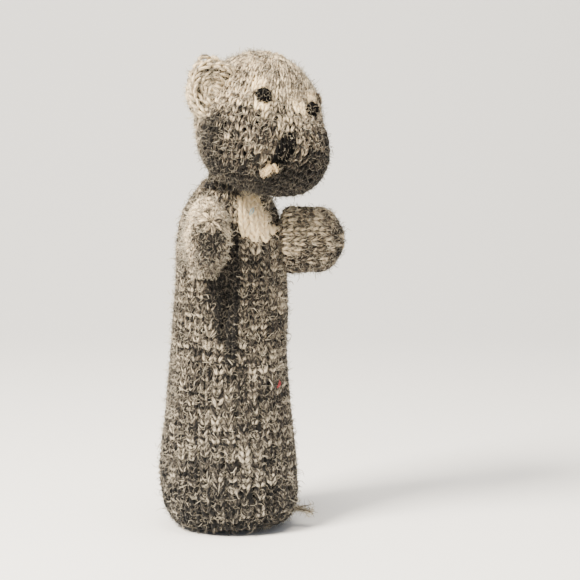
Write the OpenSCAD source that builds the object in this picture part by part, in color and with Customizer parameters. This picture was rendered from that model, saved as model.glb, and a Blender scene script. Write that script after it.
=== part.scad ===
// Knitted bear-eared finger puppet: a hand-knitted wool tube worn on one finger, with a stuffed
// head, two curled ears, two stubby arms and embroidered features.
// Units are millimetres. Z is up, the face looks along -Y, X runs across the body.
// The origin is the centre of the finger opening, level with the bottom of the rolled hem.

/* [Sleeve] */
// Height from the bottom of the hem to the top of the shoulders
sleeve_h = 83.2; // [76:0.2:92]
// Outside radius of the sleeve just above the hem
hem_r = 16.4; // [14:0.1:19]
// Outside radius of the sleeve at the waist
waist_r = 14.6; // [13:0.1:17]
// Outside radius of the sleeve at the chest
chest_r = 12.6; // [11.5:0.1:14.5]
// Radius of the finger opening at the hem
pocket_r = 12.4; // [9:0.1:12.6]
// Radius of the pocket round the fingertip
tip_r = 8.4; // [6:0.1:8.8]
// Radius of the roll that the hem curls into
roll_r = 1.8; // [1.2:0.1:2.2]
// How far the rolled hem sits in from the sleeve
hem_inset = 0.4; // [0.2:0.1:1]

// Height up to which the sleeve keeps its hem width
straight_z = 15; // [10:0.5:20]
// Distance from the neck down to the waist
waist_drop = 33.3; // [30:0.1:40]
// Distance from the neck down to the chest, where the shoulders start to round in
chest_drop = 9.2; // [7:0.1:12]
// Thickness of wool between the top of the finger pocket and the neck
pocket_top = 3.7; // [2:0.1:6]

/* [Bends] */
// Distance from the neck down to the lower bend, at the middle knuckle of the finger
knuckle_drop = 49.2; // [45:0.1:53]
// Distance from the neck down to the upper bend, at the last knuckle of the finger
tip_drop = 25.2; // [23:0.1:29]
// How far the curved slit at each bend stands outside the sleeve
bend_room = 2; // [1.5:0.1:3]
// Width of the slit at each bend
slit = 0.4; // [0.3:0.05:0.8]

/* [Head] */
// Radius of the stuffed head
head_r = 16.4; // [13:0.1:18]
// Radius of each rounded cheek
cheek_r = 9.4; // [8:0.1:10.4]
// Thickness of the knitted head cover
cover_t = 3.2; // [2.8:0.1:3.6]
// How far the head leans to its own left
head_tilt = 14; // [0:1:20]
// How far the head stands in front of the neck
head_fwd = 6; // [4:0.2:8]
// Height of the head's middle above the middle of the neck
head_rise = 12.1; // [9.5:0.1:14]

/* [Neck] */
// How far the neck stands in front of the sleeve's middle
neck_fwd = 3; // [1:0.2:5]
// Radius of the gathered neck
neck_r = 6.4; // [5:0.1:7]
// Room between the neck and the hollow in the head
neck_room = 1.3; // [1.2:0.1:2]
// Radius of the thread tied round the neck
thread_r = 0.8; // [0.5:0.1:1]

/* [Ears] */
// Distance from the middle of an ear to the middle of its rim
ear_r = 4.8; // [3.5:0.1:5.5]
// Radius of the curled rim of an ear
ear_rim_r = 2.1; // [1.4:0.1:2.3]
// Thickness of the web inside an ear
ear_web_t = 1.6; // [1:0.1:2]
// Height of the ears on the head, as an angle
ear_lift = 13; // [5:1:25]
// Turn of the right ear round from the face
right_ear_turn = 76; // [70:1:110]
// Turn of the left ear round from the face
left_ear_turn = 112; // [70:1:120]
// Backward lean of the right ear
right_ear_lean = 30; // [0:1:35]
// Backward lean of the left ear
left_ear_lean = 20; // [0:1:35]

/* [Face] */
// Radius of each knotted eye
eye_r = 2.1; // [1.5:0.1:2.6]
// Turn of each eye away from the middle of the face
eye_turn = 27; // [20:1:34]
// Height of the eyes on the head, as an angle
eye_lift = 12; // [5:1:25]
// Radius of the pale patch behind each eye
patch_r = 3.4; // [2.8:0.1:4]
// Thickness of the pale patch behind each eye
patch_t = 0.7; // [0.4:0.1:1]
// Half width of the stitched nose
nose_r = 2.5; // [1.8:0.1:3]
// Length of the stitched nose
nose_len = 8; // [6.5:0.1:10]
// Angle of the nose below straight ahead
nose_dip = 24; // [15:1:30]
// Radius of the pale tuft on the chin
chin_r = 2; // [1.5:0.1:2.4]
// Angle of the chin tuft below straight ahead
chin_dip = 43; // [40:1:48]

/* [Chest] */
// Half width of the pale bib
bib_w = 4.3; // [3:0.1:5.5]
// Height of the pale bib
bib_h = 10.5; // [8:0.1:12]
// How far the bib stands off the sleeve
bib_t = 0.9; // [0.6:0.1:1.2]

/* [Arms] */
// Distance from the neck down to the shoulders
arm_drop = 12.7; // [10:0.1:15]
// Half thickness of an arm
arm_r = 5.2; // [4.2:0.1:5.4]
// Half height of the straight part of an arm
arm_half = 3; // [2:0.1:3.4]
// Distance from the shoulder to the middle of an arm
arm_reach = 6.9; // [6.5:0.1:8]
// Turn of both shoulders away from the front
arm_root = 52; // [45:1:60]
// Direction of the right arm away from the front
right_arm_turn = 18; // [10:1:60]
// Direction of the left arm away from the front
left_arm_turn = 62; // [50:1:75]
// Upward slope of the right arm
right_arm_slope = 28; // [0:1:34]
// Radius of the gathered root of each arm
root_r = 4; // [3.2:0.1:4.2]
// Room left round each moving root
joint_gap = 0.3; // [0.25:0.05:0.5]

/* [Colours] */
// Main marled wool
wool = "#8f8a80";
// Pale wool
cream = "#d8cbb2";
// Dark embroidery wool
dark = "#1b1a1c";
// Loose wadding inside the head and arms
wadding = "#e6e1d6";

/* [Hidden] */
$fn = 72;
big = 120;
knuckle_z = sleeve_h - knuckle_drop;
tip_z = sleeve_h - tip_drop;
arm_z = sleeve_h - arm_drop;
waist_z = sleeve_h - waist_drop;
chest_z = sleeve_h - chest_drop;
neck_z = sleeve_h + joint_gap + neck_r * 0.766;
root_dist = chest_r + 1.9;
ear_dist = head_r - 0.4;

// Outside radius of the sleeve at a height
function sleeve_r(z) = lookup(z, [
    [roll_r, hem_r - hem_inset], [6, hem_r], [straight_z, hem_r], [waist_z, waist_r],
    [chest_z, chest_r]
]);

// ---- shared shapes ----

// Solid of the sleeve's outside, grown sideways and upward
module sleeve_outside(grow = 0) {
    rotate_extrude($fn = 120)
        polygon([
            [0, roll_r], [hem_r - hem_inset + grow, roll_r], [hem_r + grow, 6],
            [hem_r + grow, straight_z], [waist_r + grow, waist_z], [chest_r + grow, chest_z],
            [chest_r * 0.965 + grow, sleeve_h - chest_drop * 0.68],
            [chest_r * 0.87 + grow, sleeve_h - chest_drop * 0.39],
            [chest_r * 0.71 + grow * 0.8, sleeve_h - chest_drop * 0.17 + grow * 0.6],
            [chest_r * 0.55 + grow * 0.5, sleeve_h - chest_drop * 0.045 + grow * 0.9],
            [chest_r * 0.45, sleeve_h + grow], [0, sleeve_h + grow]
        ]);
}

// Solid of the pocket that the finger goes into
module finger_pocket() {
    rotate_extrude($fn = 120)
        polygon([
            [0, -1], [pocket_r, -1], [pocket_r, straight_z], [pocket_r * 0.9, waist_z],
            [tip_r, tip_z + 5], [tip_r, sleeve_h - pocket_top - 4.6],
            [tip_r * 0.72, sleeve_h - pocket_top - 1.5],
            [tip_r * 0.35, sleeve_h - pocket_top - 0.3], [0, sleeve_h - pocket_top]
        ]);
}

module tube() {
    difference() {
        sleeve_outside();
        finger_pocket();
    }
}

module hem_ring(grow = 0) {
    translate([0, 0, roll_r])
        rotate_extrude($fn = 120)
            translate([pocket_r + roll_r, 0])
                circle(r = roll_r + grow, $fn = 48);
}

// Drum lying across the sleeve, used to cut the curved slit at a bend
module bend_drum(z, grow = 0) {
    translate([0, 0, z])
        rotate([0, 90, 0])
            cylinder(r = sleeve_r(z) + bend_room + grow, h = big, center = true, $fn = 120);
}

module above(z) {
    translate([-big / 2, -big / 2, z])
        cube([big, big, big]);
}

// Everything above a bend: the drum and all that stands over its middle
module over_bend(z, grow = 0) {
    bend_drum(z, grow);
    above(z);
}

module capsule(r, half) {
    cylinder(r = r, h = half * 2, center = true);
    translate([0, 0, half])
        sphere(r = r);
    translate([0, 0, -half])
        sphere(r = r);
}

// ---- frames ----

module in_neck() {
    translate([0, -neck_fwd, neck_z])
        children();
}

module in_head() {
    in_neck()
        rotate([0, head_tilt, 0])
            translate([0, -head_fwd, head_rise])
                children();
}

// A place on the head: -Y of the children points out of the head
module on_head(turn, lift, dist) {
    in_head()
        rotate([0, 0, -turn])
            rotate([-lift, 0, 0])
                translate([0, -dist, 0])
                    children();
}

// The shoulder on one side: -Y of the children runs along the arm
module in_arm(side, turn, slope) {
    rotate([0, 0, -side * arm_root])
        translate([0, -root_dist, arm_z])
            rotate([0, 0, side * (arm_root - turn)])
                rotate([-slope, 0, 0])
                    children();
}

// ---- head shapes ----

// Middle of the left cheek, from the middle of the head
function cheek_at() = [head_r * 0.27, -head_r * 0.5, -head_r * 0.4];

// Unit vector that points so far down from straight ahead, and so far to the right
function face_way(dip, turn = 0) = [
    -sin(turn) * cos(dip), -cos(turn) * cos(dip), -sin(dip)
];

// Distance from the middle of the head to its surface along a unit vector between the cheeks
function face_reach(way) = let (c = cheek_at(), along = c * way)
    max(head_r, along + sqrt(cheek_r * cheek_r - (c * c - along * along)));

// Outside of the head, or of a skin grown over it
module head_outside(grow = 0) {
    in_head() {
        sphere(r = head_r + grow, $fn = 96);
        for (side = [-1, 1])
            translate([side * cheek_at()[0], cheek_at()[1], cheek_at()[2]])
                sphere(r = cheek_r + grow, $fn = 72);
    }
}

module head_inside() {
    difference() {
        in_head() {
            sphere(r = head_r - cover_t, $fn = 96);
            for (side = [-1, 1])
                translate([side * cheek_at()[0], cheek_at()[1], cheek_at()[2]])
                    sphere(r = cheek_r - cover_t, $fn = 72);
        }
        in_neck()
            sphere(r = neck_r + neck_room + 1.4);
    }
}

module ear_bed(turn) {
    on_head(turn, ear_lift, ear_dist)
        capsule(ear_rim_r + joint_gap, ear_r);
}

module ear(turn, lean) {
    on_head(turn, ear_lift, ear_dist)
        rotate([0, 0, turn > 0 ? -lean : lean]) {
            capsule(ear_rim_r, ear_r);
            intersection() {
                rotate([0, 90, 0]) {
                    rotate_extrude()
                        translate([ear_r, 0])
                            circle(r = ear_rim_r, $fn = 40);
                    cylinder(r = ear_r, h = ear_web_t, center = true);
                }
                translate([-big / 2, -big, -big / 2])
                    cube([big, big, big]);
            }
        }
}

module eye_ball(turn) {
    on_head(turn, eye_lift, head_r + 0.3)
        sphere(r = eye_r, $fn = 40);
}

module eye_patch(turn) {
    difference() {
        intersection() {
            head_outside(patch_t);
            on_head(turn, eye_lift, head_r)
                rotate([90, 0, 0])
                    cylinder(r = patch_r, h = 6, center = true);
        }
        head_outside();
        eye_ball(turn);
    }
}

module nose_solid() {
    in_head()
        translate(face_way(nose_dip) * face_reach(face_way(nose_dip)))
            capsule(nose_r, nose_len / 2 - nose_r);
}

// ---- arm shapes ----

module arm_outside() {
    translate([0, -arm_reach, 0])
        capsule(arm_r, arm_half);
}

module arm_inside() {
    translate([0, -arm_reach - 1, 0])
        capsule(arm_r * 0.5, arm_half * 0.8);
}

module arm_cover(side, turn, slope) {
    in_arm(side, turn, slope)
        difference() {
            arm_outside();
            arm_inside();
            sphere(r = root_r + joint_gap);
        }
}

module paw_gather(side, turn, slope) {
    in_arm(side, turn, slope)
        difference() {
            translate([0, -arm_reach - arm_r + 0.2, 0])
                rotate([90, 0, 0])
                    rotate_extrude()
                        translate([1.9, 0])
                            circle(r = 1, $fn = 32);
            arm_outside();
        }
}

module root_ball(side) {
    in_arm(side, arm_root, 0)
        sphere(r = root_r);
}

module root_bed(side) {
    in_arm(side, arm_root, 0)
        sphere(r = root_r + joint_gap);
}

// ---- sub-parts ----

// Lowest part of the sleeve, up to the curved slit at the middle knuckle
module sleeve_lower() {
    color(wool)
        difference() {
            tube();
            hem_ring();
            over_bend(knuckle_z, slit);
        }
}

// Hem where the knitting curls inward
module hem_roll() {
    color(wool)
        hem_ring();
}

// Short end of yarn left at the hem
module hem_yarn_tail() {
    color(wool)
        difference() {
            rotate([0, 0, 62])
                translate([0, -hem_r - 1, 4.2])
                    rotate([66, 0, 0])
                        capsule(0.9, 1.6);
            sleeve_outside();
        }
}

// Middle part of the sleeve, between the two bends
module sleeve_middle() {
    color(wool)
        difference() {
            intersection() {
                tube();
                over_bend(knuckle_z);
            }
            over_bend(tip_z, slit);
        }
}

// Chest and shoulders, with a bed for the root of each arm
module sleeve_upper() {
    color(wool)
        difference() {
            intersection() {
                tube();
                over_bend(tip_z);
            }
            root_bed(1);
            root_bed(-1);
        }
}

// Pale bib on the chest, lying on the sleeve
module chest_bib() {
    color(cream)
        intersection() {
            difference() {
                sleeve_outside(bib_t);
                sleeve_outside();
            }
            translate([-bib_w, -big, sleeve_h * 0.972 - bib_h])
                cube([bib_w * 2, big, bib_h]);
        }
}

// Gathered neck between the shoulders and the head
module neck_gather() {
    color(wool)
        difference() {
            in_neck()
                sphere(r = neck_r);
            translate([-big / 2, -big / 2, sleeve_h + joint_gap - big])
                cube([big, big, big]);
        }
}

// Thread tied round the neck
module neck_thread() {
    color(dark)
        difference() {
            in_neck()
                translate([0, 0, -neck_r * 0.62])
                    rotate_extrude()
                        translate([neck_r * 0.81, 0])
                            circle(r = thread_r, $fn = 32);
            in_neck()
                sphere(r = neck_r);
            translate([-big / 2, -big / 2, sleeve_h + joint_gap - big])
                cube([big, big, big]);
        }
}

// Knitted cover of the head, with a hollow for the neck and a bed for each ear and eye
module head_cover() {
    color(wool)
        difference() {
            head_outside();
            head_inside();
            in_neck()
                sphere(r = neck_r + neck_room);
            ear_bed(right_ear_turn);
            ear_bed(-left_ear_turn);
            eye_ball(eye_turn);
            eye_ball(-eye_turn);
        }
}

// Wadding that fills the head
module head_stuffing() {
    color(wadding)
        difference() {
            head_inside();
            ear_bed(right_ear_turn);
            ear_bed(-left_ear_turn);
        }
}

// Drawn-together top of the head
module crown_gather() {
    color(wool)
        difference() {
            in_head()
                translate([0, 0, head_r - 0.1])
                    rotate_extrude()
                        translate([2.2, 0])
                            circle(r = 1, $fn = 32);
            head_outside();
        }
}

// Knotted eye on the puppet's right
module right_eye() {
    color(dark)
        eye_ball(eye_turn);
}

// Knotted eye on the puppet's left
module left_eye() {
    color(dark)
        eye_ball(-eye_turn);
}

// Pale wool behind the right eye
module right_eye_patch() {
    color(cream)
        eye_patch(eye_turn);
}

// Pale wool behind the left eye
module left_eye_patch() {
    color(cream)
        eye_patch(-eye_turn);
}

// Nose worked in long dark stitches
module nose() {
    color(dark)
        difference() {
            nose_solid();
            head_outside();
        }
}

// Pale tuft under the nose
module chin_tuft() {
    color(cream)
        difference() {
            in_head()
                translate(face_way(chin_dip, 3) * (face_reach(face_way(chin_dip, 3)) + chin_r / 2))
                    sphere(r = chin_r, $fn = 40);
            head_outside();
            nose_solid();
        }
}

// Curled ear on the puppet's right
module right_ear() {
    color(wool)
        ear(right_ear_turn, right_ear_lean);
}

// Curled ear on the puppet's left
module left_ear() {
    color(wool)
        ear(-left_ear_turn, left_ear_lean);
}

// Gathered root that joins the right arm to the chest
module right_arm_root() {
    color(wool)
        root_ball(1);
}

// Knitted cover of the right arm
module right_arm_cover() {
    color(wool)
        arm_cover(1, right_arm_turn, right_arm_slope);
}

// Wadding in the right arm
module right_arm_stuffing() {
    color(wadding)
        in_arm(1, right_arm_turn, right_arm_slope)
            arm_inside();
}

// Drawn-together end of the right arm
module right_paw_gather() {
    color(wool)
        paw_gather(1, right_arm_turn, right_arm_slope);
}

// Gathered root that joins the left arm to the chest
module left_arm_root() {
    color(wool)
        root_ball(-1);
}

// Knitted cover of the left arm
module left_arm_cover() {
    color(wool)
        arm_cover(-1, left_arm_turn, 0);
}

// Wadding in the left arm
module left_arm_stuffing() {
    color(wadding)
        in_arm(-1, left_arm_turn, 0)
            arm_inside();
}

// Drawn-together end of the left arm
module left_paw_gather() {
    color(wool)
        paw_gather(-1, left_arm_turn, 0);
}

sleeve_lower();
hem_roll();
hem_yarn_tail();
sleeve_middle();
sleeve_upper();
chest_bib();
neck_gather();
neck_thread();
head_cover();
head_stuffing();
crown_gather();
right_eye();
left_eye();
right_eye_patch();
left_eye_patch();
nose();
chin_tuft();
right_ear();
left_ear();
right_arm_root();
right_arm_cover();
right_arm_stuffing();
right_paw_gather();
left_arm_root();
left_arm_cover();
left_arm_stuffing();
left_paw_gather();
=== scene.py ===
"""Knitted finger puppet: wool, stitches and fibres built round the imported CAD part."""

import logging
import math
from dataclasses import dataclass, field, fields
from enum import Enum

import bpy
import numpy as np
from mathutils import Matrix, Vector

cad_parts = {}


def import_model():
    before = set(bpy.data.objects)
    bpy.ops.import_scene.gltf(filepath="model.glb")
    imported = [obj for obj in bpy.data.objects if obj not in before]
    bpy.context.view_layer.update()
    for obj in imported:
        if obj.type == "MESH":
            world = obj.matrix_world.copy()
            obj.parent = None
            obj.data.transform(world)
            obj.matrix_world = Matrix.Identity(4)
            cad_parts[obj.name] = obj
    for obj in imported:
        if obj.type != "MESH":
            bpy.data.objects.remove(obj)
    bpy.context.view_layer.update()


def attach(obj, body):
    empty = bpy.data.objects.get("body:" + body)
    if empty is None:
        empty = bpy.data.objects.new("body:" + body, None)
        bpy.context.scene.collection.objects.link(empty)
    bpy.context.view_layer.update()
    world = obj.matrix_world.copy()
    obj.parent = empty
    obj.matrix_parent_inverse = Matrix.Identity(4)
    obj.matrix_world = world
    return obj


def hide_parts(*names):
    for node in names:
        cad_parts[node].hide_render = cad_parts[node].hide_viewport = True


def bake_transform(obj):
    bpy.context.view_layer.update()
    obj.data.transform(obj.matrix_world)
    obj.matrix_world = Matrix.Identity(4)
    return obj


LOG = logging.getLogger("puppet")
MM = 0.001
TILE_EDGE, TILE_FILL = 0.08, 0.84
FAN = 361
HEAD_CENTRE = (2.93, -9.0, 100.15)
HEAD_TILT = 14.0


class Hue(Enum):
    """Colours of the wools and of the studio, as sRGB hex."""

    WOOL_PALE = "#e8d3ae"
    WOOL_MID = "#60564a"
    WOOL_DEEP = "#0e0b08"
    ASH_PALE = "#c8beab"
    ASH_MID = "#3e3b37"
    ASH_DEEP = "#050608"
    CREAM_PALE = "#ffeabf"
    CREAM_MID = "#f0d7a8"
    CREAM_DEEP = "#8a6d45"
    INK_PALE = "#121112"
    INK_MID = "#050505"
    INK_DEEP = "#020202"
    FIBRE_PALE = "#dcd1bb"
    FIBRE_DEEP = "#1b1917"
    DOWN_PALE = "#fff0d2"
    DOWN_DEEP = "#c4a06a"
    # Inner wool, painted near black for the shade in the gaps between stitches
    GAP_SHADE_PALE = "#211c16"
    GAP_SHADE_DEEP = "#080706"
    STRAY_SKY = "#8fc3d8"
    STRAY_BLUE = "#2f57a8"
    STRAY_RED = "#b8434a"
    FLOOR = "#fbfbfa"
    LAMP_WARM = "#fff4e2"
    LAMP_COOL = "#eaf1ff"


def hex_linear(hue: Hue) -> tuple[float, float, float, float]:
    """Turns an sRGB hex colour into linear values.

    Args:
        hue: the colour to convert.

    Returns:
        Linear red, green, blue and an alpha of one.
    """
    code = hue.value.lstrip("#")
    channels = [int(code[i : i + 2], 16) / 255 for i in (0, 2, 4)]
    linear = [c / 12.92 if c <= 0.04045 else ((c + 0.055) / 1.055) ** 2.4 for c in channels]
    return (linear[0], linear[1], linear[2], 1.0)


def add_node(tree: bpy.types.NodeTree, kind: str, inputs: dict | None = None, **settings) -> bpy.types.Node:
    """Adds one node to a tree.

    Args:
        tree: the tree that gets the node.
        kind: the node's type name.
        inputs: values for its input sockets, by name or index.
        **settings: properties of the node itself.

    Returns:
        The new node.
    """
    node = tree.nodes.new(kind)
    for name, value in settings.items():
        setattr(node, name, value)
    for key, value in (inputs or {}).items():
        socket = node.inputs[key]
        if isinstance(value, bpy.types.NodeSocket):
            tree.links.new(value, socket)
        else:
            socket.default_value = value
    return node


# ---------------------------------------------------------------- finishes


class Nodes:
    """A node tree with short ways to add what it needs."""

    tree: bpy.types.NodeTree

    def add(self, kind: str, inputs: dict | None = None, **settings) -> bpy.types.Node:
        """Adds a node to the tree; a kind that starts with a dot is a shader node."""
        return add_node(self.tree, kind.replace(".", "ShaderNode"), inputs, **settings)

    def math(self, operation: str, *values) -> bpy.types.NodeSocket:
        """Adds a Math node and returns its output."""
        return self.add(".Math", dict(enumerate(values)), operation=operation).outputs[0]

    def combine(self, x=0.0, y=0.0, z=0.0) -> bpy.types.NodeSocket:
        """Adds a Combine XYZ node and returns its output."""
        return self.add(".CombineXYZ", {0: x, 1: y, 2: z}).outputs[0]


class Shading(Nodes):
    """One new material, built node by node."""

    def __init__(self, name: str) -> None:
        """Starts the material with an empty tree."""
        self.material = bpy.data.materials.new(name)
        self.material.use_nodes = True
        self.tree = self.material.node_tree
        self.tree.nodes.clear()

    def attribute(self, name: str) -> bpy.types.NodeSocket:
        """Reads an attribute of the mesh as one number."""
        return self.add(".Attribute", attribute_name=name).outputs["Fac"]

    def noise(self, vector: bpy.types.NodeSocket, scale: float, **inputs) -> bpy.types.NodeSocket:
        """Adds a noise texture and returns its value."""
        return self.add(".TexNoise", {"Vector": vector, "Scale": scale, **inputs}).outputs["Fac"]

    def grain(self, size_mm: float, detail: float) -> bpy.types.NodeSocket:
        """Noise in object space with patches of about one size."""
        place = self.add(".TexCoord").outputs["Object"]
        return self.noise(place, 1 / (size_mm * MM), Detail=detail)

    def mix(self, share: bpy.types.NodeSocket, low, high) -> bpy.types.NodeSocket:
        """Mixes two colours."""
        return self.add(".Mix", {0: share, 6: low, 7: high}, data_type="RGBA").outputs[2]

    def ramp(self, tone: bpy.types.NodeSocket, *stops: tuple[float, Hue]) -> bpy.types.NodeSocket:
        """Adds a colour ramp: its first stop, its last stop, then any between them."""
        node = self.add(".ValToRGB", {"Fac": tone})
        elements = node.color_ramp.elements
        for index, (position, hue) in enumerate(stops):
            stop = elements[index] if index < 2 else elements.new(position)
            stop.position, stop.color = position, hex_linear(hue)
        return node.outputs["Color"]

    def finish(self, colour, roughness: float, gloss: float, inputs: dict) -> bpy.types.Material:
        """Ends the tree in a Principled shader.

        Args:
            colour: the base colour.
            roughness: how matt the surface is.
            gloss: its specular level.
            inputs: further sockets of the shader.

        Returns:
            The material.
        """
        shader = self.add(".BsdfPrincipled", {
            "Base Color": colour, "Roughness": roughness, "Specular IOR Level": gloss, **inputs})
        self.add(".OutputMaterial", {"Surface": shader.outputs[0]})
        return self.material


@dataclass(frozen=True)
class WoolFinish:
    """Two-ply knitting wool: marled colour by stitch, twisted plies and streaks along the yarn."""

    name: str
    pale: Hue
    mid: Hue
    deep: Hue
    cool: tuple[Hue, Hue, Hue] | None = None
    sheen: float = 0.06
    roughness: float = 0.92
    ply_turns: float = 1.6
    ply_tone: float = 0.10
    ply_height: float = 0.35
    marl_mm: float = 1.3
    streaks: float = 1.35
    mottle: float = 0.5
    contrast: float = 1.6
    streak_scale: tuple[float, float, float] = (9.0, 2.2, 1.0)
    relief_mm: float = 0.16
    gloss: float = 0.15

    def build(self) -> bpy.types.Material:
        """Builds the material.

        Returns:
            A node-based material that reads the attributes shade and warm and the UV map Yarn.
        """
        nodes = Shading(self.name)
        shade, warm = nodes.attribute("shade"), nodes.attribute("warm")
        yarn = nodes.add(".UVMap", uv_map="Yarn").outputs["UV"]
        axes = nodes.add(".SeparateXYZ", {0: yarn}).outputs
        turn = nodes.math("MULTIPLY_ADD", axes["Y"], self.ply_turns, axes["X"])
        ply = nodes.math("SINE", nodes.math("MULTIPLY", turn, 2 * math.pi))
        # The shade of a stitch also shifts its streaks, so that no two stitches look alike
        offset = nodes.math("MULTIPLY", shade, 37.0)
        along = nodes.add(".Mapping", {"Vector": yarn, "Scale": self.streak_scale}).outputs[0]
        shifted = nodes.add(".VectorMath", {0: along, 1: nodes.combine(offset, 0.0, offset)}, operation="ADD")
        streak = nodes.noise(shifted.outputs[0], 1.0, Detail=4.0, Roughness=0.65)
        tone = nodes.math("MULTIPLY_ADD", ply, self.ply_tone, shade)
        for source, weight in ((streak, self.streaks), (nodes.grain(self.marl_mm, 2.0), self.mottle)):
            centred = nodes.math("SUBTRACT", source, 0.5)
            tone = nodes.math("MULTIPLY_ADD", centred, weight * self.contrast, tone)

        def dyed(pale: Hue, mid: Hue, deep: Hue) -> bpy.types.NodeSocket:
            """Colours the tone from deep to pale."""
            return nodes.ramp(tone, (0.18, deep), (0.86, pale), (0.5, mid))

        colour = dyed(self.pale, self.mid, self.deep)
        if self.cool:
            colour = nodes.mix(warm, dyed(*self.cool), colour)
        height = nodes.math("MULTIPLY_ADD", ply, self.ply_height, streak)
        bump = nodes.add(".Bump", {"Height": height, "Distance": self.relief_mm * MM, "Strength": 0.9})
        return nodes.finish(colour, self.roughness, self.gloss, {
            "Sheen Weight": self.sheen, "Sheen Roughness": 0.6, "Normal": bump.outputs[0]})


@dataclass(frozen=True)
class FibreFinish:
    """Loose single wool fibres, paler or darker from one to the next."""

    name: str
    pale: Hue
    deep: Hue

    def build(self) -> bpy.types.Material:
        """Builds a material that mixes two colours by the attribute shade."""
        nodes = Shading(self.name)
        colour = nodes.mix(nodes.attribute("shade"), hex_linear(self.deep), hex_linear(self.pale))
        return nodes.finish(colour, 0.7, 0.15, {"Sheen Weight": 0.05})


@dataclass(frozen=True)
class InnerShadeFinish:
    """Matted inner yarn that shows in the gaps between stitches, painted near black for the shade that falls
    there.
    """

    name: str
    pale: Hue
    deep: Hue
    grain_mm: float = 0.9
    relief_mm: float = 0.3

    def build(self) -> bpy.types.Material:
        """Builds a matt material with millimetre-scale grain."""
        nodes = Shading(self.name)
        grain = nodes.grain(self.grain_mm, 4.0)
        colour = nodes.ramp(grain, (0.35, self.deep), (0.7, self.pale))
        bump = nodes.add(".Bump", {"Height": grain, "Distance": self.relief_mm * MM})
        return nodes.finish(colour, 0.95, 0.1, {"Normal": bump.outputs[0]})


class Finishes:
    """Every material, built once."""

    def __init__(self) -> None:
        """Builds each finish."""
        # Marled grey and cream two-ply wool: warm on the head, cooler down the sleeve
        self.marled = WoolFinish(
            "marled_two_ply_wool", Hue.WOOL_PALE, Hue.WOOL_MID, Hue.WOOL_DEEP,
            cool=(Hue.ASH_PALE, Hue.ASH_MID, Hue.ASH_DEEP),
        ).build()
        # Undyed cream wool of the bib, the eye patches and the chin
        self.cream = WoolFinish(
            "cream_wool", Hue.CREAM_PALE, Hue.CREAM_MID, Hue.CREAM_DEEP, mottle=0.2
        ).build()
        # Black embroidery wool of the eyes and nose, and the neck thread
        self.ink = WoolFinish(
            "black_wool", Hue.INK_PALE, Hue.INK_MID, Hue.INK_DEEP, mottle=0.25, sheen=0.0, gloss=0.06
        ).build()
        # Loose fibres standing off the yarn, and the cream ones of the bib, eye patches and chin
        self.fibre = FibreFinish("loose_wool_fibre", Hue.FIBRE_PALE, Hue.FIBRE_DEEP).build()
        self.down = FibreFinish("cream_wool_fibre", Hue.DOWN_PALE, Hue.DOWN_DEEP).build()
        # Inner side of the knitting, painted near black for the shade in the gaps between stitches
        self.inner_shade = InnerShadeFinish("shaded_inner_yarn", Hue.GAP_SHADE_PALE, Hue.GAP_SHADE_DEEP).build()
        # Single dyed fibres caught in the wool
        self.sky = FibreFinish("sky_blue_fibre", Hue.STRAY_SKY, Hue.STRAY_SKY).build()
        self.blue = FibreFinish("blue_fibre", Hue.STRAY_BLUE, Hue.STRAY_BLUE).build()
        self.red = FibreFinish("red_fibre", Hue.STRAY_RED, Hue.STRAY_RED).build()
        # Pale studio floor
        self.floor = bpy.data.materials.new("studio_paper")
        self.floor.use_nodes = True
        paper = self.floor.node_tree.nodes["Principled BSDF"]
        paper.inputs["Base Color"].default_value = hex_linear(Hue.FLOOR)
        paper.inputs["Roughness"].default_value = 0.9


# ---------------------------------------------------------------- mesh helpers


@dataclass
class Strand:
    """A tapered tube of yarn or fibre along a line, with its own UVs."""

    path: np.ndarray
    radii: np.ndarray
    sides: int = 6

    def arrays(self) -> tuple[np.ndarray, list[tuple[int, ...]], list[tuple[float, float]]]:
        """Sweeps the tube.

        Returns:
            Vertices, faces, and one UV per face corner.
        """
        path = np.asarray(self.path, float)
        count = len(path)
        tangent = np.gradient(path, axis=0)
        tangent /= np.linalg.norm(tangent, axis=1)[:, None] + 1e-12
        guide = np.array([0.0, 0.0, 1.0]) if abs(tangent[0][2]) < 0.9 else np.array([1.0, 0.0, 0.0])
        verts = np.zeros((count * self.sides, 3))
        side = np.cross(tangent[0], guide)
        for i in range(count):
            side = side - tangent[i] * np.dot(side, tangent[i])
            side /= np.linalg.norm(side) + 1e-12
            other = np.cross(tangent[i], side)
            for j in range(self.sides):
                angle = 2 * math.pi * j / self.sides
                verts[i * self.sides + j] = path[i] + self.radii[i] * (
                    side * math.cos(angle) + other * math.sin(angle)
                )
        faces: list[tuple[int, ...]] = []
        uvs: list[tuple[float, float]] = []
        for i in range(count - 1):
            for j in range(self.sides):
                k = (j + 1) % self.sides
                faces.append((i * self.sides + j, i * self.sides + k, (i + 1) * self.sides + k,
                              (i + 1) * self.sides + j))
                u0, u1 = j / self.sides, (j + 1) / self.sides
                v0, v1 = i / (count - 1), (i + 1) / (count - 1)
                uvs += [(u0, v0), (u1, v0), (u1, v1), (u0, v1)]
        faces.append(tuple(reversed(range(self.sides))))
        faces.append(tuple((count - 1) * self.sides + j for j in range(self.sides)))
        uvs += [(j / self.sides, 0.0) for j in range(self.sides)]
        uvs += [(j / self.sides, 1.0) for j in range(self.sides)]
        return verts, faces, uvs


def strand(path, radii, sides: int = 6) -> Strand:
    """Makes a strand from points and radii in millimetres."""
    return Strand(np.asarray(path) * MM, np.asarray(radii) * MM, sides)


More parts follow.
